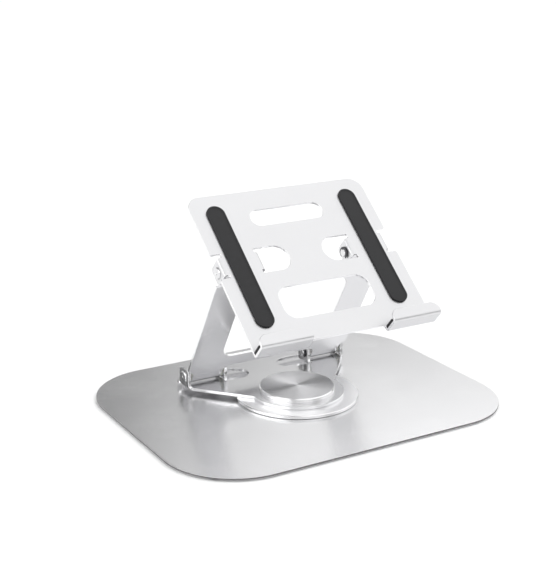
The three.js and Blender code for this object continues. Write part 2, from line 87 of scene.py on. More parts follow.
# ---- driving dimensions, as the frame was drawn ---------------------------------------------------
BASE_CORNER = 53 * MM
BASE_CHAMFER = 0.3 * MM
BORE = 6.1 * MM
STUD_RADIUS = 6 * MM
THREAD_PITCH = 0.75 * MM
THREAD_DEPTH = 0.35 * MM
DISC_GROOVE = (27.7 * MM, 40.3 * MM)
DISC_CHAMFER = 0.45 * MM
DISC_LIP = 0.7 * MM
LIP_GROOVE_HEIGHT = 0.75 * MM
LIP_GROOVE_DEPTH = 0.6 * MM
SLIP_RING_INNER = 28 * MM
SLIP_RING_HEADROOM = 0.05 * MM
KNOB_WALL = 3.3 * MM
KNOB_ROOF = 1 * MM
KNOB_GROOVE_SPAN = (0.9 * MM, 1.5 * MM)
KNOB_GROOVE_SLOPE = 0.15 * MM
KNOB_GROOVE_DEPTH = 0.3 * MM
KNOB_BEVEL_WIDTH = 0.6 * MM
KNOB_BEVEL_DROP = 0.85 * MM
SCREW_SHANK = 1.5 * MM
SCREW_HEAD_DEPTH = 1.5 * MM
SCREW_SOCKET = 1.1 * MM
SCREW_SOCKET_DEPTH = 1 * MM
FOOT_GROOVES = (2 * MM, 6 * MM)
FOOT_GROOVE_WIDTH = 1.8 * MM
FOOT_GROOVE_DEPTH = 0.4 * MM
FOOT_TAPER = 0.3 * MM

BRACKET_SHEET = 2.3 * MM
BRACKET_TOP = SCREW_HIGH.z
BRACKET_FRONT_RADIUS = 34.8 * MM
BRACKET_NECK_ANGLE = 5.5  # degrees
BRACKET_BACK = 66 * MM
BRACKET_BACK_CORNER = 8 * MM
RELIEF = 1 * MM
FLANK_FOLD = 5 * MM
EAR_NOTCH = 0.6 * MM

EAR_OUTER = 68.35 * MM
EAR_INNER = 38.15 * MM
EAR_SHEET = 2.3 * MM
EAR_HALF_DEPTH = 7.3 * MM
EAR_HEIGHT = 12.4 * MM
EAR_CORNER = 3 * MM
EAR_BEND = 0.8 * MM
PIN_OFFSET = 6.3 * MM
PIN_HOLE = 3 * MM
PIN_RADIUS = 2.95 * MM
PIN_HEAD = 0.8 * MM
PIN_GROOVE_DEPTH = 0.3 * MM
PIN_TIP = 0.4 * MM
DIMPLE_RADIUS = 1.1 * MM
DIMPLE_DEPTH = 0.3 * MM
WASHER_PLAY = 0.12 * MM
CLIP_GRIP = 0.25 * MM
CLIP_OPENING = 38  # degrees, half of the gap
EAR_HOLE_INNER = 14 * MM
EAR_HOLE_HALF = 10.3 * MM
EAR_HOLE_SHIFT = 1 * MM
EAR_ROOT = 0.3 * MM

ARM_SHEET = 2.2 * MM
ARM_HALF_WIDTH = 69.3 * MM
ARM_SHOULDER = 9.2 * MM
ARM_SHOULDER_CORNER = 1.2 * MM
ARM_FILLET = 4.5 * MM
ARM_WINDOW_HALF = 45 * MM
ARM_WINDOW_MARGIN = 20 * MM
ARM_WINDOW_CORNER = 11 * MM
KNUCKLE_GAP = 1.8 * MM
KNUCKLE_CORNER = 0.6 * MM
KNUCKLE_WRAP = math.radians(298)

PLATE_SHEET = 2 * MM
PLATE_BACK = 3 * MM
PLATE_FRONT = PLATE_BACK + PLATE_SHEET
PLATE_PIN_S = 65 * MM
PLATE_HALF_WIDTH = 73.1 * MM
PLATE_TOP = 124 * MM
PLATE_BOTTOM = -3.2 * MM
PLATE_CORNER = 11 * MM
PLATE_NOTCH_HALF = 10 * MM
PLATE_NOTCH_CORNER = 2 * MM
PLATE_WINDOW_HALF = 37 * MM
PLATE_WINDOW_SPAN = (15 * MM, 41 * MM)
PLATE_WINDOW_CORNER = 9 * MM
PLATE_SLOT_HALF = 30 * MM
PLATE_SLOT_SPAN = (93 * MM, 107 * MM)
PLATE_SLOT_CORNER = 6.9 * MM
HOOK_INNER = 32.7 * MM
HOOK_UNDER = -8.1 * MM
HOOK_FRONT = 17.5 * MM
HOOK_LIP_TOP = 1.5 * MM
HOOK_BEND = 0.5 * MM
HOOK_ROOT = 1.5 * MM
LIP_CORNER = 6.5 * MM

PAD_GAP = 0.1 * MM
PAD_X = 55 * MM
PAD_HALF_WIDTH = 7 * MM
PAD_SPAN = (12 * MM, 114 * MM)
PLATE_PAD_THICKNESS = 1.5 * MM
PLATE_PAD_RIM = 1.3 * MM
PLATE_PAD_SINK = 0.35 * MM
SHELF_PAD_THICKNESS = 2.2 * MM
LIP_PAD_THICKNESS = 1.2 * MM
LIP_PAD_DROP = 1 * MM
RIB_PITCH = 1.4 * MM
RIB_HEIGHT = 0.2 * MM
RIB_EDGE_ANGLE = 17  # degrees

CHAMFER = 0.25 * MM
SMALL_RADIUS = 0.5 * MM
QUARTER = math.pi / 2
ARC_STEP = math.radians(5)
FOLD_STEPS = 9
ROLL_STEPS = 50
SAME_PLACE = 1e-6
CUT_TOLERANCE = 1e-7
ON_AXIS = 1e-9
MITRE_LIMIT = 0.4  # keeps the mitre at a very sharp corner short
LEVEL_COSINE = 0.98
FLAT_FACE, EDGE_FACE, WALL_FACE = 0, 1, 2
MIX_FIRST, MIX_SECOND, MIX_RESULT = 6, 7, 2  # a colour Mix node's sockets

# ---- studio and camera ----------------------------------------------------------------------------
# sky and flags: a direction, then how bright the light is at each cosine away from that direction
WORLD_STRENGTH = 1.33
SKY = ((0.21, -0.12, 1), [(-0.1, 0.8), (0.08, 0.8), (0.31, 0.1), (0.415, 0.9), (0.7, 0.9), (1.0, 0.92)])
UPPER_FLAG = ((-0.13, 0.73, 0.67), [(0.775, 1.0), (0.9, 0.12)])
FRONT_FLAG = ((0.5, -0.85, 0.15), [(0.93, 1.0), (0.97, 0.4)])
TARGET = Vector((0, 0, 0.06))
# softboxes: place, size in metres, watts
KEY = ((0.82, 0.96, 1.28), (1.0, 0.8), 2.3)
SIDE = ((-1.9, -0.2, 0.55), (2.8, 0.6), 10.5)
FILL_STRENGTH = 0.83
FILL_SPREAD = math.radians(70)
FILL_TURN = (math.radians(25), math.radians(15), 0)
FLOOR_HALF = 30
FLOOR_COLOUR = (0.93, 0.93, 0.93)
FLOOR_ROUGHNESS = 0.8
FLOOR_SHEEN = 0.1

CAMERA_PLACE = Vector((-0.4550, -0.7260, 0.3585))
CAMERA_AZIMUTH = math.radians(-31.10)
CAMERA_ELEVATION = math.radians(17.51)
CAMERA_ROLL = math.radians(0.45)
CAMERA_LENS = 78.9
CAMERA_REACH = (0.01, 100)

# ---- the moving parts' own axes -------------------------------------------------------------------
# the arm's: x across, y from the lower pin to the upper one, z out of its front
ARM_LENGTH = (UPPER_PIN - LOWER_PIN).length
ACROSS = Vector((1, 0, 0))


def axes(along, origin):
    """A frame with x across, y along the given direction, and z out of the front."""
    rotation = Matrix((ACROSS, along, ACROSS.cross(along))).transposed().to_4x4()
    return Matrix.Translation(origin) @ rotation


PLATE_UP = PLATE_NORMAL.cross(ACROSS)
ARM_FRAME = axes((UPPER_PIN - LOWER_PIN).normalized(), LOWER_PIN)
HOLDER_ORIGIN = UPPER_PIN - PLATE_UP * PLATE_PIN_S - PLATE_NORMAL * (PLATE_BACK - PIN_OFFSET)
HOLDER_FRAME = axes(PLATE_UP, HOLDER_ORIGIN)


# ---- outlines -------------------------------------------------------------------------------------
def arc(centre_x, centre_y, radius, start, end):
    """Points on an arc, from start to end in degrees, either way round."""
    start, end = math.radians(start), math.radians(end)
    steps = max(3, math.ceil(abs(end - start) / ARC_STEP))
    angles = [start + (end - start) * i / steps for i in range(steps + 1)]
    return [(centre_x + radius * math.cos(a), centre_y + radius * math.sin(a)) for a in angles]


def rounded_rectangle(left, bottom, right, top, radius):
    return (arc(right - radius, bottom + radius, radius, -90, 0)
            + arc(right - radius, top - radius, radius, 0, 90)
            + arc(left + radius, top - radius, radius, 90, 180)
            + arc(left + radius, bottom + radius, radius, 180, 270))


def circle(centre_x, centre_y, radius):
    return arc(centre_x, centre_y, radius, 0, 360)[:-1]


def mirrored(points):
    return [(-x, y) for x, y in reversed(points)]


def turned_over(points, middle):
    return [(x, 2 * middle - y) for x, y in reversed(points)]


def without_repeats(points):
    kept = []
    for point in points:
        if not kept or math.dist(kept[-1], point) > SAME_PLACE:
            kept.append(point)
    if math.dist(kept[0], kept[-1]) < SAME_PLACE:
        kept.pop()
    return kept


def signed_area(points):
    following = points[1:] + points[:1]
    return sum(x0 * y1 - x1 * y0 for (x0, y0), (x1, y1) in zip(points, following)) / 2


def wound(loops):
    """The outer loop anticlockwise and the holes clockwise, so the material is always on the left."""
    result = []
    for index, loop in enumerate(loops):
        loop = without_repeats(loop)
        anticlockwise = signed_area(loop) > 0
        result.append(loop if anticlockwise == (index == 0) else loop[::-1])
    return result


def mitres(points):
    """At each point, the way into the material, as long as an inset of 1 moves that corner."""
    result = []
    for i, here in enumerate(points):
        first = (Vector(here) - Vector(points[i - 1])).normalized()
        second = (Vector(points[(i + 1) % len(points)]) - Vector(here)).normalized()
        left = Vector((-first.y - second.y, first.x + second.x))
        result.append(left / max(MITRE_LIMIT, 1 + first.dot(second)))
    return result


# ---- solids from flat patterns --------------------------------------------------------------------
def chamfered(low, high, size=CHAMFER):
    """Levels of a plain sheet: height, inset of the outline, and tilt of the surface in degrees."""
    return [(low, size, -90), (low + size, 0, 0), (high - size, 0, 0), (high, size, 90)]


def sheet_mesh(outer, holes, levels):
    """A flat solid whose sides pass through the levels. Each vertex keeps its own surface normal."""
    loops = wound([outer] + holes)
    mesh = bmesh.new()
    normal_layer = mesh.verts.layers.float_vector.new("normal")
    rings = []
    for loop in loops:
        inward = mitres(loop)
        ring = []
        for height, inset, tilt in levels:
            tilt = math.radians(tilt)
            row = []
            for (x, y), way in zip(loop, inward):
                vert = mesh.verts.new((x + way.x * inset, y + way.y * inset, height))
                out = -way.normalized() * math.cos(tilt)
                vert[normal_layer] = Vector((out.x, out.y, math.sin(tilt)))
                row.append(vert)
            ring.append(row)
        rings.append(ring)
    for ring in rings:
        count = len(ring[0])
        for step, (lower, upper) in enumerate(zip(ring, ring[1:])):
            upright = levels[step][2] == levels[step + 1][2] == 0
            for i in range(count):
                j = (i + 1) % count
                face = mesh.faces.new((lower[i], lower[j], upper[j], upper[i]))
                face.material_index = WALL_FACE if upright else EDGE_FACE
    for level, upwards in ((0, False), (-1, True)):
        flat = [[vert.co / MM for vert in ring[level]] for ring in rings]
        corners = [vert for ring in rings for vert in ring[level]]
        for triangle in tessellate_polygon(flat):
            face = mesh.faces.new([corners[i] for i in triangle])
            face.normal_update()
            if (face.normal.z > 0) != upwards:
                face.normal_flip()
    return mesh


def crease(mesh, place, forwards, length, steps):
    """Cuts the sheet across at even steps past a place, so that it can be bent there."""
    for i in range(steps + 1):
        geometry = mesh.verts[:] + mesh.edges[:] + mesh.faces[:]
        here = place + forwards * (length * i / steps)
        bmesh.ops.bisect_plane(mesh, geom=geometry, dist=CUT_TOLERANCE, plane_co=here, plane_no=forwards)


def bend_length(radius, thickness, turn):
    return (radius + thickness / 2) * turn


def everything(point):
    return True


def fold(mesh, place, forwards, inwards, radius, thickness, turn, chosen, steps=FOLD_STEPS):
    """Bends what is chosen past a place on the sheet's inner face towards inwards.
    radius is the inside radius of the bend, and turn is its angle."""
    place, forwards, inwards = Vector(place), Vector(forwards), Vector(inwards)
    crease(mesh, place, forwards, bend_length(radius, thickness, turn), steps)
    normal_layer = mesh.verts.layers.float_vector["normal"]
    for vert in mesh.verts:
        offset = vert.co - place
        run, rise = offset.dot(forwards), offset.dot(inwards)
        if run <= 0 or not chosen(vert.co):
            continue
        swing = min(run / (radius + thickness / 2), turn)
        rest = run - bend_length(radius, thickness, swing)
        reach = radius - rise
        new_run = reach * math.sin(swing) + rest * math.cos(swing)
        new_rise = radius - reach * math.cos(swing) + rest * math.sin(swing)
        vert.co += forwards * (new_run - run) + inwards * (new_rise - rise)
        normal = vert[normal_layer].copy()
        ahead, inside = normal.dot(forwards), normal.dot(inwards)
        normal += forwards * (ahead * math.cos(swing) - inside * math.sin(swing) - ahead)
        normal += inwards * (ahead * math.sin(swing) + inside * math.cos(swing) - inside)
        vert[normal_layer] = normal


# ---- solids of revolution -------------------------------------------------------------------------
def rounded(points, radius, steps=4, largest_share=0.45):
    """A (radius, height) profile with its corners off the axis rounded, as (r, z, normal r, normal z).
    The profile runs anticlockwise, with the solid on its left. A corner takes no more than the
    largest share of either side."""
    touches_axis = points[0][0] == 0
    result = []
    for i, here in enumerate(points):
        here = Vector(here)
        if touches_axis and i in (0, len(points) - 1):
            result.append((here.x, here.y, 0, -1 if i == 0 else 1))
            continue
        before = Vector(points[i - 1])
        after = Vector(points[(i + 1) % len(points)])
        arriving, leaving = (here - before), (after - here)
        turn = arriving.angle_signed(leaving)
        trim = min(radius * abs(math.tan(turn / 2)), arriving.length * largest_share,
                   leaving.length * largest_share)
        start = here - arriving.normalized() * trim
        end = here + leaving.normalized() * trim
        out_start = Vector((arriving.y, -arriving.x)).normalized()
        out_end = Vector((leaving.y, -leaving.x)).normalized()
        for step in range(steps + 1):
            t = step / steps
            point = start * (1 - t) ** 2 + here * 2 * t * (1 - t) + end * t ** 2
            out = out_start.lerp(out_end, t).normalized()
            result.append((point.x, point.y, out.x, out.y))
    return result


def round_section(angle):
    return 1


def hexagon_section(angle):
    """How far out a hexagon's side is at this angle, as a share of its corners' radius."""
    sixth = math.pi / 3
    return math.cos(sixth / 2) / math.cos(angle % sixth - sixth / 2)


def lathe_mesh(profile, segments=144, section=round_section, hexed=()):
    """A solid of revolution about Z. Profile points listed in hexed follow the section instead."""
    mesh = bmesh.new()
    normal_layer = mesh.verts.layers.float_vector.new("normal")
    rings = []
    for index, (radius, height, out, up) in enumerate(profile):
        count = 1 if radius < ON_AXIS else segments
        ring = []
        for i in range(count):
            angle = 2 * math.pi * i / segments
            reach = radius * (section(angle) if index in hexed else 1)
            vert = mesh.verts.new((reach * math.cos(angle), reach * math.sin(angle), height))
            vert[normal_layer] = Vector((out * math.cos(angle), out * math.sin(angle), up))
            ring.append(vert)
        rings.append(ring)
    pairs = list(zip(rings, rings[1:]))
    if profile[0][0] > ON_AXIS:
        pairs.append((rings[-1], rings[0]))
    for lower, upper in pairs:
        for i in range(segments):
            j = (i + 1) % segments
            corners = [lower[i % len(lower)], lower[j % len(lower)],
                       upper[j % len(upper)], upper[i % len(upper)]]
            corners = list(dict.fromkeys(corners))
            if len(corners) > 2:
                mesh.faces.new(corners)
    return mesh


def side_faces(mesh):
    """Gives the faces that don't look straight up or down the edge's finish."""
    for face in mesh.faces:
        face.normal_update()
        face.material_index = FLAT_FACE if abs(face.normal.z) > LEVEL_COSINE else EDGE_FACE


def turn_to_x(side):
    """Lays a solid that was spun about Z along X instead, its top towards the given side."""
    return Matrix.Rotation(QUARTER * side, 4, "Y")


# ---- finished pieces ------------------------------------------------------------------------------
BODY_OF = {node: body for body, nodes in frame["record"]["behaviour"]["bodies"].items() for node in nodes}


def piece(node, mesh, materials, place=Matrix.Identity(4)):
    """Makes a piece from a mesh, puts it in place, and lets it stand for its CAD node."""
    normal_layer = mesh.verts.layers.float_vector["normal"]
    turn = place.to_3x3()
    for vert in mesh.verts:
        vert.co = place @ vert.co
        vert[normal_layer] = (turn @ vert[normal_layer]).normalized()
    bmesh.ops.recalc_face_normals(mesh, faces=mesh.faces)
    for face in mesh.faces:
        face.smooth = True
    normals = [vert[normal_layer].copy() for vert in mesh.verts]
    mesh.verts.layers.float_vector.remove(normal_layer)
    data = bpy.data.meshes.new(f"{node}.fine")
    mesh.to_mesh(data)
    mesh.free()
    data.normals_split_custom_set_from_vertices(normals)
    for material in materials:
        data.materials.append(material)
    thing = bpy.data.objects.new(f"{node}.fine", data)
    bpy.context.scene.collection.objects.link(thing)
    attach(thing, BODY_OF[node])
    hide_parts(node)
    return thing


# ---- materials ------------------------------------------------------------------------------------
class Finish:
    """One node material, built a node at a time around a Principled shader."""

    def __init__(self, name, colour, metallic, **uniform):
        self.material = bpy.data.materials.new(name)
        self.material.use_nodes = True
        self.tree = self.material.node_tree
        self.tree.nodes.clear()
        output = self.tree.nodes.new("ShaderNodeOutputMaterial")
        self.shader = self.tree.nodes.new("ShaderNodeBsdfPrincipled")
        self.tree.links.new(self.shader.outputs["BSDF"], output.inputs["Surface"])
        self.place = self.tree.nodes.new("ShaderNodeTexCoord").outputs["Object"]
        self.colour = colour
        self.set("Base Color", (*colour, 1))
        self.set("Metallic", metallic)
        for socket, value in uniform.items():
            self.set(socket.replace("_", " "), value)

    def set(self, socket, value):
        if isinstance(value, bpy.types.NodeSocket):
            self.tree.links.new(value, self.shader.inputs[socket])
        else:
            self.shader.inputs[socket].default_value = value

    def add(self, kind, inputs, **settings):
        """Adds a node. inputs maps its sockets, by name or index, to values or other nodes' outputs."""
        node = self.tree.nodes.new(kind)
        for name, value in settings.items():
            setattr(node, name, value)
        for socket, value in inputs.items():
            if isinstance(value, bpy.types.NodeSocket):
                self.tree.links.new(value, node.inputs[socket])
            else:
                node.inputs[socket].default_value = value
        return node

    def math(self, operation, a, b=0.0):
        return self.add("ShaderNodeMath", {0: a, 1: b}, operation=operation).outputs[0]

    def spread(self, value, low, high, from_low=0.3, from_high=0.7):
        """Takes a noise value, which lies mostly from 0.3 to 0.7, to the range from low to high."""
        inputs = {"Value": value, "From Min": from_low, "From Max": from_high, "To Min": low, "To Max": high}
        return self.add("ShaderNodeMapRange", inputs).outputs["Result"]

    def noise(self, scale, stretch=(1, 1, 1), detail=2.0):
        """Noise with features about 1/scale metres across, longer where stretch is under 1."""
        mapping = self.add("ShaderNodeMapping", {"Vector": self.place, "Scale": stretch})
        inputs = {"Vector": mapping.outputs["Vector"], "Scale": scale, "Detail": detail}
        return self.add("ShaderNodeTexNoise", inputs).outputs["Fac"]

    def ring_noise(self, scale):
        """Noise that only changes with the distance from the Z axis, as a lathe tool leaves it."""
        flat = self.add("ShaderNodeVectorMath", {0: self.place, 1: (1, 1, 0)}, operation="MULTIPLY")
        away = self.add("ShaderNodeVectorMath", {0: flat.outputs[0]}, operation="LENGTH").outputs["Value"]
        inputs = {"W": away, "Scale": scale, "Detail": 3.0}
        return self.add("ShaderNodeTexNoise", inputs, noise_dimensions="1D").outputs["Fac"]

    def tint(self, amount, dark, light):
        """Colours the surface between two multiples of its own colour."""
        darker = (*(c * dark for c in self.colour), 1)
        lighter = (*(min(1, c * light) for c in self.colour), 1)
        mix = self.add("ShaderNodeMix", {}, data_type="RGBA")
        self.tree.links.new(amount, mix.inputs[0])
        mix.inputs[MIX_FIRST].default_value = darker
        mix.inputs[MIX_SECOND].default_value = lighter
        self.set("Base Color", mix.outputs[MIX_RESULT])

    def bump(self, height, depth, strength=1.0):
        """A bump of the given real depth in metres."""
        inputs = {"Height": height, "Distance": depth, "Strength": strength}
        self.set("Normal", self.add("ShaderNodeBump", inputs).outputs["Normal"])

    def rubbed_edges(self, radius):
        """1 on the outer edges where handling has rubbed the surface, 0 away from them, patchily."""
        bevel = self.add("ShaderNodeBevel", {"Radius": radius}, samples=4).outputs["Normal"]
        true_normal = self.add("ShaderNodeNewGeometry", {}).outputs["Normal"]
        same = self.add("ShaderNodeVectorMath", {0: bevel, 1: true_normal}, operation="DOT_PRODUCT")
        edge = self.spread(same.outputs["Value"], 1.0, 0.0, 0.75, 0.995)
        return self.math("MULTIPLY", edge, self.spread(self.noise(140, detail=3.0), 0.1, 1.0))


def metal_finish(name, colour, roughness, grain_stretch=(1, 1, 1), grain_depth=4e-6, wear=0.06, **uniform):
    """Bare or anodised metal: grain, faint clouds where it has been handled, and rubbed edges."""
    finish = Finish(name, colour, 1.0, **uniform)
    grain = finish.noise(scale=1600, stretch=grain_stretch, detail=3.0)
    cloud = finish.noise(scale=22, detail=3.0)
    worn = finish.rubbed_edges(0.6 * MM)
    shade = finish.math("ADD", finish.spread(cloud, 0.3, 0.7), finish.spread(grain, -0.2, 0.2))
    finish.tint(shade, dark=0.96, light=1.03)
    rough = finish.math("ADD", finish.spread(cloud, roughness * 0.95, roughness * 1.06),
                        finish.spread(grain, -0.03, 0.03))
    finish.set("Roughness", finish.math("SUBTRACT", rough, finish.math("MULTIPLY", worn, wear)))
    finish.bump(grain, grain_depth)
    return finish.material


def spun_finish(name, colour, roughness, anisotropy, groove_depth):
    """Metal turned on a lathe: fine concentric grooves about Z, which draw highlights out into rays."""
    finish = Finish(name, colour, 1.0, Anisotropic=anisotropy, Anisotropic_Rotation=0.25)
    tangent = finish.add("ShaderNodeTangent", {}, direction_type="RADIAL", axis="Z").outputs["Tangent"]
    finish.set("Tangent", tangent)
    grooves = finish.ring_noise(scale=1500)
    bands = finish.ring_noise(scale=260)
    finish.tint(finish.spread(bands, 0.2, 0.8), dark=0.97, light=1.02)
    finish.set("Roughness", finish.math("ADD", finish.spread(bands, roughness * 0.95, roughness * 1.05),
                                        finish.spread(grooves, -0.01, 0.01)))
    finish.bump(grooves, groove_depth)
    return finish.material


def cut_edge_finish(name, colour, roughness, stretch=(1, 1, 0.12)):
    """A cut and polished edge, with the fine streaks of the cutter."""
    finish = Finish(name, colour, 1.0)
    streaks = finish.noise(scale=900, stretch=stretch)
    finish.tint(streaks, dark=0.9, light=1.06)
    finish.set("Roughness", finish.spread(streaks, roughness * 0.7, roughness * 1.3))
    finish.bump(streaks, depth=3e-6)
    return finish.material


def rubber_finish(name, colour, roughness):
    """Moulded silicone: a fine pebbled skin, a little dust, and shinier rubbed edges."""
    finish = Finish(name, colour, 0.0, IOR=1.42)
    skin = finish.noise(scale=2200)
    dust = finish.noise(scale=260, detail=4.0)
    worn = finish.rubbed_edges(0.5 * MM)
    shade = finish.math("ADD", finish.spread(dust, 0.0, 0.5), finish.math("MULTIPLY", worn, 0.5))
    finish.tint(shade, dark=0.8, light=2.2)
    finish.set("Roughness", finish.math("SUBTRACT", finish.spread(dust, roughness * 0.85, roughness * 1.15),
                                        finish.math("MULTIPLY", worn, 0.15)))
    finish.bump(skin, depth=2.5e-5)
    return finish.material


def plastic_finish(name, colour, roughness):
    """Moulded nylon: slightly mottled, with faint flow marks."""
    finish = Finish(name, colour, 0.0, IOR=1.53, Subsurface_Weight=0.1)
    flow = finish.noise(scale=90, stretch=(1, 0.3, 1), detail=3.0)
    skin = finish.noise(scale=1800)
    finish.tint(finish.spread(flow, 0.1, 0.9), dark=0.93, light=1.05)
    finish.set("Roughness", finish.spread(flow, roughness * 0.85, roughness * 1.15))
    finish.bump(skin, depth=8e-6)
    return finish.material


BRUSHED_ACROSS = (0.02, 1, 1)
TURNED_ROUND = (0.01, 0.01, 1)
BASE_SATIN = metal_finish("satin_base", (0.84, 0.84, 0.85), 0.25, grain_depth=2e-6)
BASE_EDGE = cut_edge_finish("base_edge", (0.86, 0.86, 0.87), 0.18)
# the base plate's upright side wall gets a dark colour: painted shade for the dark line along the plate's
# edge, where the bare metal would mirror the bright floor
BASE_WALL_PAINTED_SHADE = metal_finish("base_wall_painted_shade", (0.16, 0.155, 0.16), 0.4)
SHEET = metal_finish("brushed_sheet", (0.80, 0.80, 0.81), 0.22, BRUSHED_ACROSS, 1.5e-6)
CUT_EDGE = cut_edge_finish("cut_edge", (0.9, 0.9, 0.91), 0.2)
HOLDER = metal_finish("pale_satin", (0.72, 0.72, 0.73), 0.36, grain_depth=1.5e-6)
SPUN_TOP = spun_finish("spun_knob", (0.68, 0.68, 0.69), 0.46, 0.97, 3e-7)
SPUN_DISC = spun_finish("spun_disc", (0.95, 0.95, 0.96), 0.3, 0.3, 3e-7)
POLISHED = cut_edge_finish("polished_side", (0.94, 0.94, 0.95), 0.22, TURNED_ROUND)
PIN_STEEL = metal_finish("pin_steel", (0.74, 0.74, 0.75), 0.18, grain_depth=1e-6)
DARK_STEEL = metal_finish("dark_steel", (0.10, 0.10, 0.105), 0.36, grain_depth=3e-6)
NYLON = plastic_finish("nylon", (0.76, 0.74, 0.68), 0.45)
SILICONE = rubber_finish("silicone", (0.012, 0.012, 0.013), 0.55)

BASE_FINISHES = [BASE_SATIN, BASE_EDGE, BASE_WALL_PAINTED_SHADE]
SHEET_FINISHES = [SHEET, CUT_EDGE, CUT_EDGE]
HOLDER_FINISHES = [HOLDER, CUT_EDGE, CUT_EDGE]
PAD_FINISHES = [SILICONE, SILICONE, SILICONE]


# ---- base and turntable ---------------------------------------------------------------------------
def base_plate():
    outline = rounded_rectangle(BASE_LOW.x, BASE_LOW.y, BASE_HIGH.x, BASE_HIGH.y, BASE_CORNER)
    mesh = sheet_mesh(outline, [circle(0, 0, BORE)], chamfered(BASE_LOW.z, BASE_HIGH.z, BASE_CHAMFER))
    piece("base_plate", mesh, BASE_FINISHES)


def feet():
    """Round silicone feet with two grooves in the sole, so that they grip."""
    radius = (FOOT_HIGH.x - FOOT_LOW.x) / 2
    depth, width = FOOT_GROOVE_DEPTH, FOOT_GROOVE_WIDTH
    profile = [(0, 0)]
    for start in FOOT_GROOVES:
        profile += [(start, 0), (start + depth, depth), (start + width - depth, depth), (start + width, 0)]
    profile += [(radius - FOOT_TAPER, 0), (radius, FOOT_HIGH.z), (0, FOOT_HIGH.z)]
    for node in FEET:
        mesh = lathe_mesh(rounded(profile, 0.2 * MM), segments=96)
        piece(node, mesh, PAD_FINISHES, Matrix.Translation((*middle_of(node), 0)))


def pivot_stud():
    """A stud with a flange under the base and a thread above the bracket."""
    flange = STUD_HIGH.x
    root = STUD_RADIUS - THREAD_DEPTH
    profile = [(0, STUD_LOW.z), (flange, STUD_LOW.z), (flange, BASE_LOW.z), (STUD_RADIUS, BASE_LOW.z)]
    height = BRACKET_TOP + THREAD_PITCH
    while height < STUD_HIGH.z - THREAD_PITCH:
        profile += [(STUD_RADIUS, height), (root, height + THREAD_PITCH / 2)]
        height += THREAD_PITCH
    profile += [(STUD_RADIUS, height), (root, STUD_HIGH.z), (0, STUD_HIGH.z)]
    piece("pivot_stud", lathe_mesh(rounded(profile, 0.1 * MM, steps=2)), [DARK_STEEL])


def slip_ring():
    profile = [(SLIP_RING_INNER, RING_LOW.z), (RING_HIGH.x, RING_LOW.z),
               (RING_HIGH.x, RING_HIGH.z), (SLIP_RING_INNER, RING_HIGH.z)]
    piece("slip_ring", lathe_mesh(rounded(profile, 0.15 * MM)), [NYLON])


def turntable_disc():
    """A flange with a chamfered lip, a groove under the lip, and a groove for the slip ring below."""
    radius = DISC_HIGH.x
    low, high = DISC_LOW.z, DISC_HIGH.z
    roof = RING_HIGH.z + SLIP_RING_HEADROOM
    inner, outer = DISC_GROOVE
    lip = high - DISC_LIP
    foot = lip - LIP_GROOVE_HEIGHT
    waist = radius - LIP_GROOVE_DEPTH
    chamfer = DISC_CHAMFER
    profile = [(BORE, low), (inner, low), (inner, roof), (outer, roof), (outer, low),
               (radius - chamfer / 2, low), (radius, low + chamfer / 2), (radius, foot), (waist, foot),
               (waist, lip), (radius, lip), (radius, high - chamfer), (radius - chamfer, high), (BORE, high)]
    mesh = lathe_mesh(rounded(profile, 0.1 * MM), segments=240)
    side_faces(mesh)
    piece("turntable_disc", mesh, [SPUN_DISC, POLISHED])


def knob_cap():
    """A hollow cap with a bevelled top and a fine groove round its side."""
    radius = KNOB_HIGH.x
    low, high = KNOB_LOW.z, KNOB_HIGH.z
    bore = radius - KNOB_WALL
    ceiling = high - KNOB_ROOF
    waist = radius - KNOB_GROOVE_DEPTH
    groove_low, groove_high = (low + height for height in KNOB_GROOVE_SPAN)
    profile = [(0, ceiling), (bore, ceiling), (bore, low), (radius, low), (radius, groove_low),
               (waist, groove_low + KNOB_GROOVE_SLOPE), (waist, groove_high - KNOB_GROOVE_SLOPE),
               (radius, groove_high), (radius, high - KNOB_BEVEL_DROP), (radius - KNOB_BEVEL_WIDTH, high),
               (0, high)]
    mesh = lathe_mesh(rounded(profile, 0.18 * MM), segments=240)
    side_faces(mesh)
    piece("knob_cap", mesh, [SPUN_TOP, POLISHED])


def spring_washer():
    low, high = WASHER_LOW.z, WASHER_HIGH.z
    profile = [(BORE, low), (WASHER_HIGH.x, low), (WASHER_HIGH.x, high), (BORE, high)]
    piece("spring_washer", lathe_mesh(rounded(profile, 0.12 * MM)), [DARK_STEEL])


def pivot_nut():
    """A hexagon with its corners turned down by a cone at both ends."""
    corner = NUT_HIGH.x
    low, high = NUT_LOW.z, NUT_HIGH.z
    inset = 0.1 * MM
    flat = corner * math.cos(math.pi / 6) - inset
    drop = 0.35 * MM
    profile = [(BORE, low, 0, -1), (flat, low, 0, -1), (corner, low + drop, 1, 0),
               (corner, high - drop, 1, 0), (flat, high, 0, 1), (BORE, high, 0, 1)]
    mesh = lathe_mesh(profile, section=hexagon_section, hexed=(2, 3))
    piece("pivot_nut", mesh, [DARK_STEEL])


def bracket_screws():
    """Countersunk screws with a hexagon socket."""
    head = (SCREW_HIGH.x - SCREW_LOW.x) / 2
    top, bottom = SCREW_HIGH.z, SCREW_LOW.z
    shoulder = top - SCREW_HEAD_DEPTH
    socket = SCREW_SOCKET
    floor_height = top - SCREW_SOCKET_DEPTH
    tip = 0.3 * MM
    break_edge = 0.1 * MM
    profile = [(0, bottom, 0, -1), (SCREW_SHANK - tip, bottom, 0, -1), (SCREW_SHANK, bottom + tip, 1, 0),
               (SCREW_SHANK, shoulder, 1, 0), (head, top - break_edge, 1, 0),
               (head - break_edge, top, 0, 1), (socket + break_edge, top, 0, 1),
               (socket, top - break_edge, -1, 0), (socket, floor_height, -1, 0),
               (0, floor_height - tip, 0, 1)]
    for node in BRACKET_SCREWS:
        mesh = lathe_mesh(profile, 72, section=hexagon_section, hexed=(7, 8))
        piece(node, mesh, [DARK_STEEL], Matrix.Translation((*middle_of(node), 0)))


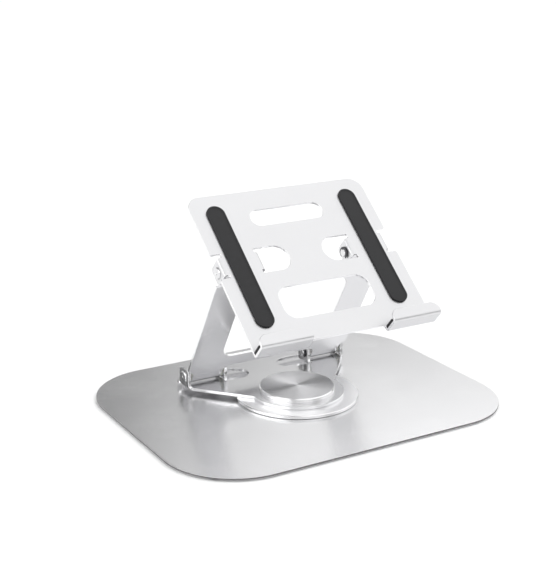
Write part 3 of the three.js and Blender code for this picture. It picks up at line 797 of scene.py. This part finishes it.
# ---- tongues that both hinged sheets share --------------------------------------------------------
def ear_length(thickness):
    """Length of an ear in the flat, from its fold line to its tip."""
    return bend_length(EAR_BEND, thickness, QUARTER) + EAR_HEIGHT - EAR_BEND


def ear_hole_offset(thickness):
    return bend_length(EAR_BEND, thickness, QUARTER) + PIN_OFFSET - EAR_BEND


def outer_fold(thickness):
    return EAR_OUTER - thickness - EAR_BEND


def inner_fold():
    return EAR_INNER + EAR_BEND


def outer_ear(middle, thickness):
    """The right-hand outer ear's edge in the flat, from its front foot round its tip to its rear foot."""
    tip = outer_fold(thickness) + ear_length(thickness)
    low, high = middle - EAR_HALF_DEPTH, middle + EAR_HALF_DEPTH
    return (arc(tip - EAR_CORNER, low + EAR_CORNER, EAR_CORNER, -90, 0)
            + arc(tip - EAR_CORNER, high - EAR_CORNER, EAR_CORNER, 0, 90))


def lanced_hole(middle, ear_middle, thickness):
    """The right-hand hole that an inner ear is cut from, with the ear still lying in it."""
    foot = inner_fold() + EAR_ROOT
    tip = inner_fold() - ear_length(thickness)
    low, high = ear_middle - EAR_HALF_DEPTH, ear_middle + EAR_HALF_DEPTH
    return (arc(EAR_HOLE_INNER + EAR_HOLE_HALF, middle, EAR_HOLE_HALF, 270, 90)
            + [(foot, middle + EAR_HOLE_HALF), (foot, high)]
            + arc(tip + EAR_CORNER, high - EAR_CORNER, EAR_CORNER, 90, 180)
            + arc(tip + EAR_CORNER, low + EAR_CORNER, EAR_CORNER, 180, 270)
            + [(foot, low), (foot, middle - EAR_HOLE_HALF)])


def pin_holes(ear_middle, thickness):
    outer = circle(outer_fold(thickness) + ear_hole_offset(thickness), ear_middle, PIN_HOLE)
    inner = circle(inner_fold() - ear_hole_offset(thickness), ear_middle, PIN_HOLE)
    return [outer, inner, mirrored(outer), mirrored(inner)]


def fold_ears(mesh, ear_middle, inner_face, inwards, thickness, front_reach):
    """Folds all four ears up from the sheet's inner face. The outer ears' folds run on in front of
    the ears by front_reach."""
    front = ear_middle - EAR_HALF_DEPTH - front_reach
    rear = ear_middle + EAR_HALF_DEPTH + RELIEF / 2
    margin = 0.05 * MM
    inner_half = EAR_HALF_DEPTH + margin
    nearest = inner_fold() - ear_length(thickness) - margin
    for side in SIDES.values():
        fold(mesh, (side * outer_fold(thickness), 0, inner_face), (side, 0, 0), (0, 0, inwards),
             EAR_BEND, thickness, QUARTER, lambda point: front < point.y < rear)
        fold(mesh, (side * inner_fold(), 0, inner_face), (-side, 0, 0), (0, 0, inwards),
             EAR_BEND, thickness, QUARTER,
             lambda point: abs(point.y - ear_middle) < inner_half and side * point.x > nearest)


def lower_bracket():
    """A sheet with a round front, flanks that run straight from its neck into the outer ears, and a
    straight back."""
    middle = LOWER_PIN.y
    sheet = BRACKET_SHEET
    low = middle - EAR_HALF_DEPTH
    high = middle + EAR_HALF_DEPTH
    flank = outer_fold(sheet) + bend_length(EAR_BEND, sheet, QUARTER)
    neck = BRACKET_NECK_ANGLE
    notch = outer_fold(sheet) - EAR_NOTCH
    corner = BRACKET_BACK_CORNER
    rear = ([(flank, low)] + outer_ear(middle, sheet)
            + [(notch, high), (notch, high + RELIEF), (EAR_OUTER, high + RELIEF)]
            + arc(EAR_OUTER - corner, BRACKET_BACK - corner, corner, 0, 90))
    outline = arc(0, 0, BRACKET_FRONT_RADIUS, -90, neck) + rear
    outline += mirrored(rear) + arc(0, 0, BRACKET_FRONT_RADIUS, 180 - neck, 270)
    hole = lanced_hole(middle + EAR_HOLE_SHIFT, middle, sheet)
    holes = [circle(0, 0, BORE), hole, mirrored(hole)] + pin_holes(middle, sheet)
    screw_hole = (SCREW_HIGH.x - SCREW_LOW.x) / 2 + 0.1 * MM
    holes += [circle(*middle_of(node), screw_hole) for node in BRACKET_SCREWS]
    mesh = sheet_mesh(outline, holes, chamfered(DISC_HIGH.z, BRACKET_TOP))
    fold_ears(mesh, middle, BRACKET_TOP, 1, sheet, FLANK_FOLD)
    piece("lower_bracket", mesh, SHEET_FINISHES)


# ---- arm ------------------------------------------------------------------------------------------
def arm_plate():
    """A sheet with two tongues at either end, each rolled round its pin into a knuckle."""
    half = ARM_HALF_WIDTH
    low, high = ARM_SHOULDER, ARM_LENGTH - ARM_SHOULDER
    tab_inner = EAR_INNER + KNUCKLE_GAP
    tab_outer = EAR_OUTER - EAR_SHEET - KNUCKLE_GAP
    tip = ARM_LENGTH + bend_length(PIN_HOLE, ARM_SHEET, KNUCKLE_WRAP)
    shoulder, fillet, corner = ARM_SHOULDER_CORNER, ARM_FILLET, KNUCKLE_CORNER
    upper_right = (arc(half - shoulder, high - shoulder, shoulder, 0, 90)
                   + arc(tab_outer + fillet, high + fillet, fillet, 270, 180)
                   + arc(tab_outer - corner, tip - corner, corner, 0, 90)
                   + arc(tab_inner + corner, tip - corner, corner, 90, 180)
                   + arc(tab_inner - fillet, high + fillet, fillet, 0, -90))
    upper = upper_right + mirrored(upper_right)
    outline = upper + turned_over(upper, ARM_LENGTH / 2)
    window = rounded_rectangle(-ARM_WINDOW_HALF, ARM_WINDOW_MARGIN, ARM_WINDOW_HALF,
                               ARM_LENGTH - ARM_WINDOW_MARGIN, ARM_WINDOW_CORNER)
    mesh = sheet_mesh(outline, [window], chamfered(PIN_HOLE, PIN_HOLE + ARM_SHEET))
    for start, forwards in ((0, -1), (ARM_LENGTH, 1)):
        fold(mesh, (0, start, PIN_HOLE), (0, forwards, 0), (0, 0, -1), PIN_HOLE, ARM_SHEET, KNUCKLE_WRAP,
             everything, ROLL_STEPS)
    piece("arm_plate", mesh, SHEET_FINISHES, ARM_FRAME)


# ---- holder ---------------------------------------------------------------------------------------
HOOK_FOLD = HOOK_UNDER + PLATE_SHEET + HOOK_BEND
HOOK_FLOOR = HOOK_FRONT - PLATE_FRONT - PLATE_SHEET - 2 * HOOK_BEND


def support_plate():
    """A sheet with two windows, four ears folded back, and two hooks folded forwards and up."""
    sheet = PLATE_SHEET
    half = PLATE_HALF_WIDTH
    middle = PLATE_PIN_S
    bend = bend_length(HOOK_BEND, sheet, QUARTER)
    lip = HOOK_LIP_TOP - HOOK_FOLD
    hook_end = HOOK_FOLD - 2 * bend - HOOK_FLOOR - lip
    notch = outer_fold(sheet) - EAR_NOTCH
    notch_low, notch_high = middle - PLATE_NOTCH_HALF, middle + PLATE_NOTCH_HALF
    small, wide = SMALL_RADIUS, PLATE_NOTCH_CORNER
    right = ([(0, PLATE_BOTTOM)]
             + arc(HOOK_INNER - HOOK_ROOT, PLATE_BOTTOM - HOOK_ROOT, HOOK_ROOT, 90, 0)
             + arc(HOOK_INNER + LIP_CORNER, hook_end + LIP_CORNER, LIP_CORNER, 180, 270)
             + arc(half - LIP_CORNER, hook_end + LIP_CORNER, LIP_CORNER, 270, 360)
             + arc(half - wide, notch_low - wide, wide, 0, 90)
             + arc(notch + small, notch_low + small, small, 270, 180)
             + [(notch, middle - EAR_HALF_DEPTH)]
             + outer_ear(middle, sheet)
             + [(notch, middle + EAR_HALF_DEPTH)]
             + arc(notch + small, notch_high - small, small, 180, 90)
             + arc(half - wide, notch_high + wide, wide, 270, 360)
             + arc(half - PLATE_CORNER, PLATE_TOP - PLATE_CORNER, PLATE_CORNER, 0, 90))
    outline = right + mirrored(right)
    low, high = PLATE_WINDOW_SPAN
    window = rounded_rectangle(-PLATE_WINDOW_HALF, low, PLATE_WINDOW_HALF, high, PLATE_WINDOW_CORNER)
    low, high = PLATE_SLOT_SPAN
    slot = rounded_rectangle(-PLATE_SLOT_HALF, low, PLATE_SLOT_HALF, high, PLATE_SLOT_CORNER)
    hole = lanced_hole(middle, middle, sheet)
    holes = [window, slot, hole, mirrored(hole)] + pin_holes(middle, sheet)
    mesh = sheet_mesh(outline, holes, chamfered(PLATE_BACK, PLATE_FRONT))
    fold_ears(mesh, middle, PLATE_BACK, -1, sheet, RELIEF / 2)
    for start in (HOOK_FOLD - bend - HOOK_FLOOR, HOOK_FOLD):
        fold(mesh, (0, start, PLATE_FRONT), (0, -1, 0), (0, 0, 1), HOOK_BEND, sheet, QUARTER, everything)
    piece("support_plate", mesh, HOLDER_FINISHES, HOLDER_FRAME)


def plate_pads():
    """Stuck-on pads with a raised rim round a sunken middle."""
    low, high = PAD_SPAN
    bottom = PLATE_FRONT + PAD_GAP
    top = bottom + PLATE_PAD_THICKNESS - PAD_GAP
    small, wide = 0.1 * MM, 0.35 * MM
    rim, sink = PLATE_PAD_RIM, PLATE_PAD_SINK
    outline = rounded_rectangle(-PAD_HALF_WIDTH, low, PAD_HALF_WIDTH, high, PAD_HALF_WIDTH - small)
    levels = [(bottom, small, -90), (bottom + small, 0, 0), (top - wide, 0, 0), (top - small, small, 45),
              (top, wide, 90), (top, rim, 90), (top - sink / 2, rim + sink / 2, 45),
              (top - sink, rim + sink, 90)]
    for name, side in SIDES.items():
        place = HOLDER_FRAME @ Matrix.Translation((side * PAD_X, 0, 0))
        piece(f"plate_pad_{name}", sheet_mesh(outline, [], levels), PAD_FINISHES, place)


def ribbed_strip(length, thickness):
    """A strip's cross-section: flat below, with round-topped ribs above."""
    count = int(length // RIB_PITCH)
    start = (length - count * RIB_PITCH) / 2
    valley = thickness - RIB_HEIGHT
    radius = RIB_HEIGHT * 1.4
    crown = [(0, valley)]
    for rib in range(count):
        middle = start + (rib + 0.5) * RIB_PITCH
        crown += arc(middle, thickness - radius, radius, 180 - RIB_EDGE_ANGLE, RIB_EDGE_ANGLE)
    crown.append((length, valley))
    return [(length, 0), (0, 0)] + crown


def hook_pads():
    """Ribbed strips along each hook's shelf and the back of its lip."""
    width = PLATE_HALF_WIDTH - HOOK_INNER
    floor = HOOK_UNDER + PLATE_SHEET + PAD_GAP
    lip_back = HOOK_FRONT - PLATE_SHEET - PAD_GAP
    shelf_depth = lip_back - LIP_PAD_THICKNESS - PLATE_FRONT - 2 * PAD_GAP
    shelf = ribbed_strip(shelf_depth, SHELF_PAD_THICKNESS - PAD_GAP)
    lip = ribbed_strip(HOOK_LIP_TOP - LIP_PAD_DROP - floor, LIP_PAD_THICKNESS)
    inset = LIP_CORNER / 2
    shelf_axes = Matrix(((0, 0, 1, 0), (0, 1, 0, floor), (-1, 0, 0, lip_back - LIP_PAD_THICKNESS - PAD_GAP),
                         (0, 0, 0, 1)))
    lip_axes = Matrix(((0, 0, 1, 0), (1, 0, 0, floor), (0, -1, 0, lip_back), (0, 0, 0, 1)))
    edge = 0.15 * MM
    for name, side in SIDES.items():
        start = HOOK_INNER if side > 0 else -PLATE_HALF_WIDTH
        mesh = sheet_mesh(shelf, [], chamfered(start, start + width, edge))
        piece(f"shelf_pad_{name}", mesh, PAD_FINISHES, HOLDER_FRAME @ shelf_axes)
        mesh = sheet_mesh(lip, [], chamfered(start + inset, start + width - inset, edge))
        piece(f"lip_pad_{name}", mesh, PAD_FINISHES, HOLDER_FRAME @ lip_axes)


# ---- hinges ---------------------------------------------------------------------------------------
def hinge_pin():
    """A pin along +Z with a domed head at its far end and a groove for its clip near its tail."""
    tail, head = LOWER_PIN_LOW.x, LOWER_PIN_HIGH.x
    head_radius = (LOWER_PIN_HIGH.z - LOWER_PIN_LOW.z) / 2
    head_inside = head - PIN_HEAD
    groove = PIN_RADIUS - PIN_GROOVE_DEPTH
    rim = 0.35 * MM
    brow_inset, brow_drop = 0.5 * MM, 0.12 * MM
    crown_inset = 1.6 * MM
    dimple_floor = head - DIMPLE_DEPTH
    profile = [(0, tail), (PIN_RADIUS - PIN_TIP, tail), (PIN_RADIUS, tail + PIN_TIP),
               (PIN_RADIUS, CLIP_LOW.x), (groove, CLIP_LOW.x), (groove, CLIP_HIGH.x),
               (PIN_RADIUS, CLIP_HIGH.x), (PIN_RADIUS, head_inside), (head_radius, head_inside),
               (head_radius, head_inside + rim), (head_radius - brow_inset, head - brow_drop),
               (head_radius - crown_inset, head), (DIMPLE_RADIUS, head),
               (DIMPLE_RADIUS - DIMPLE_DEPTH, dimple_floor), (0, dimple_floor)]
    return lathe_mesh(rounded(profile, 0.15 * MM), segments=72)


def hinge_washer(low, high):
    bore = PIN_RADIUS + WASHER_PLAY
    radius = (HINGE_WASHER_HIGH.z - HINGE_WASHER_LOW.z) / 2
    profile = [(bore, low), (radius, low), (radius, high), (bore, high)]
    return lathe_mesh(rounded(profile, 0.15 * MM), segments=72)


def clip():
    """An open ring that snaps into the pin's groove."""
    radius = (CLIP_HIGH.z - CLIP_LOW.z) / 2
    inner = PIN_RADIUS - CLIP_GRIP
    start, end = CLIP_OPENING, 360 - CLIP_OPENING
    outline = arc(0, 0, radius, start, end) + arc(0, 0, inner, end, start)
    return sheet_mesh(outline, [], chamfered(CLIP_LOW.x, CLIP_HIGH.x, 0.08 * MM))


def hinge_sets():
    for prefix, centre in (("lower", LOWER_PIN), ("upper", UPPER_PIN)):
        for name, side in SIDES.items():
            place = Matrix.Translation(centre) @ turn_to_x(side)
            piece(f"{prefix}_pin_{name}", hinge_pin(), [PIN_STEEL], place)
            piece(f"{prefix}_pin_clip_{name}", clip(), [DARK_STEEL] * 3, place)
            for row in ("inner", "outer"):
                low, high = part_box(f"{prefix}_{row}_washer_right")
                mesh = hinge_washer(low.x, high.x)
                piece(f"{prefix}_{row}_washer_{name}", mesh, [NYLON], place)


# ---- floor, light and camera ----------------------------------------------------------------------
def floor():
    """A wide pale floor with a faint mottle."""
    half = FLOOR_HALF
    mesh = bpy.data.meshes.new("floor")
    corners = [(-half, -half, 0), (half, -half, 0), (half, half, 0), (-half, half, 0)]
    mesh.from_pydata(corners, [], [(0, 1, 2, 3)])
    finish = Finish("floor", FLOOR_COLOUR, 0.0)
    finish.tint(finish.noise(scale=3), dark=0.99, light=1.01)
    finish.set("Roughness", FLOOR_ROUGHNESS)
    finish.set("Specular IOR Level", FLOOR_SHEEN)
    mesh.materials.append(finish.material)
    ground = bpy.data.objects.new("floor", mesh)
    bpy.context.scene.collection.objects.link(ground)


def surroundings():
    """A bright studio sky with a dark band above the horizon, and two dark flags in it."""
    world = bpy.data.worlds.new("studio")
    bpy.context.scene.world = world
    world.use_nodes = True
    tree = world.node_tree
    way = tree.nodes.new("ShaderNodeTexCoord").outputs["Generated"]

    def towards(direction, stops):
        """Light by direction: how far a ray points towards a direction, through grey stops."""
        dot = tree.nodes.new("ShaderNodeVectorMath")
        dot.operation = "DOT_PRODUCT"
        dot.inputs[1].default_value = Vector(direction).normalized()
        tree.links.new(way, dot.inputs[0])
        unit = tree.nodes.new("ShaderNodeMapRange")
        unit.inputs["From Min"].default_value = -1
        tree.links.new(dot.outputs["Value"], unit.inputs["Value"])
        ramp = tree.nodes.new("ShaderNodeValToRGB")
        ramp.color_ramp.interpolation = "EASE"
        elements = ramp.color_ramp.elements
        while len(elements) < len(stops):
            elements.new(0.5)
        for element, (cosine, grey) in zip(elements, stops):
            element.position = (cosine + 1) / 2
            element.color = (grey, grey, grey, 1)
        tree.links.new(unit.outputs["Result"], ramp.inputs["Fac"])
        return ramp.outputs["Color"]

    def blend(kind, first, second):
        mix = tree.nodes.new("ShaderNodeMix")
        mix.data_type = "RGBA"
        mix.blend_type = kind
        mix.inputs[0].default_value = 1
        tree.links.new(first, mix.inputs[MIX_FIRST])
        tree.links.new(second, mix.inputs[MIX_SECOND])
        return mix.outputs[MIX_RESULT]

    flags = blend("DARKEN", towards(*UPPER_FLAG), towards(*FRONT_FLAG))
    background = tree.nodes["Background"]
    background.inputs["Strength"].default_value = WORLD_STRENGTH
    tree.links.new(blend("MULTIPLY", towards(*SKY), flags), background.inputs["Color"])


def softbox(name, place, size, watts):
    """A rectangular light that faces the stand."""
    light = bpy.data.lights.new(name, "AREA")
    light.shape = "RECTANGLE"
    light.size, light.size_y = size
    light.energy = watts
    lamp = bpy.data.objects.new(name, light)
    lamp.location = place
    lamp.rotation_euler = (TARGET - Vector(place)).to_track_quat("-Z", "Y").to_euler()
    bpy.context.scene.collection.objects.link(lamp)


def floor_fill():
    """An even wash over the floor and the matt pieces, which the metal doesn't mirror."""
    light = bpy.data.lights.new("fill", "SUN")
    light.energy = FILL_STRENGTH
    light.angle = FILL_SPREAD
    lamp = bpy.data.objects.new("fill", light)
    lamp.rotation_euler = FILL_TURN
    lamp.visible_glossy = False
    bpy.context.scene.collection.objects.link(lamp)


def camera():
    data = bpy.data.cameras.new("camera")
    data.lens = CAMERA_LENS
    data.clip_start, data.clip_end = CAMERA_REACH
    thing = bpy.data.objects.new("camera", data)
    back = Vector((math.sin(CAMERA_AZIMUTH) * math.cos(CAMERA_ELEVATION),
                   -math.cos(CAMERA_AZIMUTH) * math.cos(CAMERA_ELEVATION), math.sin(CAMERA_ELEVATION)))
    right = (-back).cross(Vector((0, 0, 1))).normalized()
    up = back.cross(right)
    rolled_right = right * math.cos(CAMERA_ROLL) + up * math.sin(CAMERA_ROLL)
    rolled_up = up * math.cos(CAMERA_ROLL) - right * math.sin(CAMERA_ROLL)
    turn = Matrix((rolled_right, rolled_up, back)).transposed().to_4x4()
    thing.matrix_world = Matrix.Translation(CAMERA_PLACE) @ turn
    bpy.context.scene.collection.objects.link(thing)
    bpy.context.scene.camera = thing


# ---- everything together --------------------------------------------------------------------------
base_plate()
feet()
pivot_stud()
slip_ring()
turntable_disc()
knob_cap()
spring_washer()
pivot_nut()
bracket_screws()
lower_bracket()
arm_plate()
support_plate()
plate_pads()
hook_pads()
hinge_sets()

floor()
surroundings()
softbox("key", *KEY)
softbox("side", *SIDE)
floor_fill()
camera()
bpy.context.scene.view_settings.view_transform = "Standard"
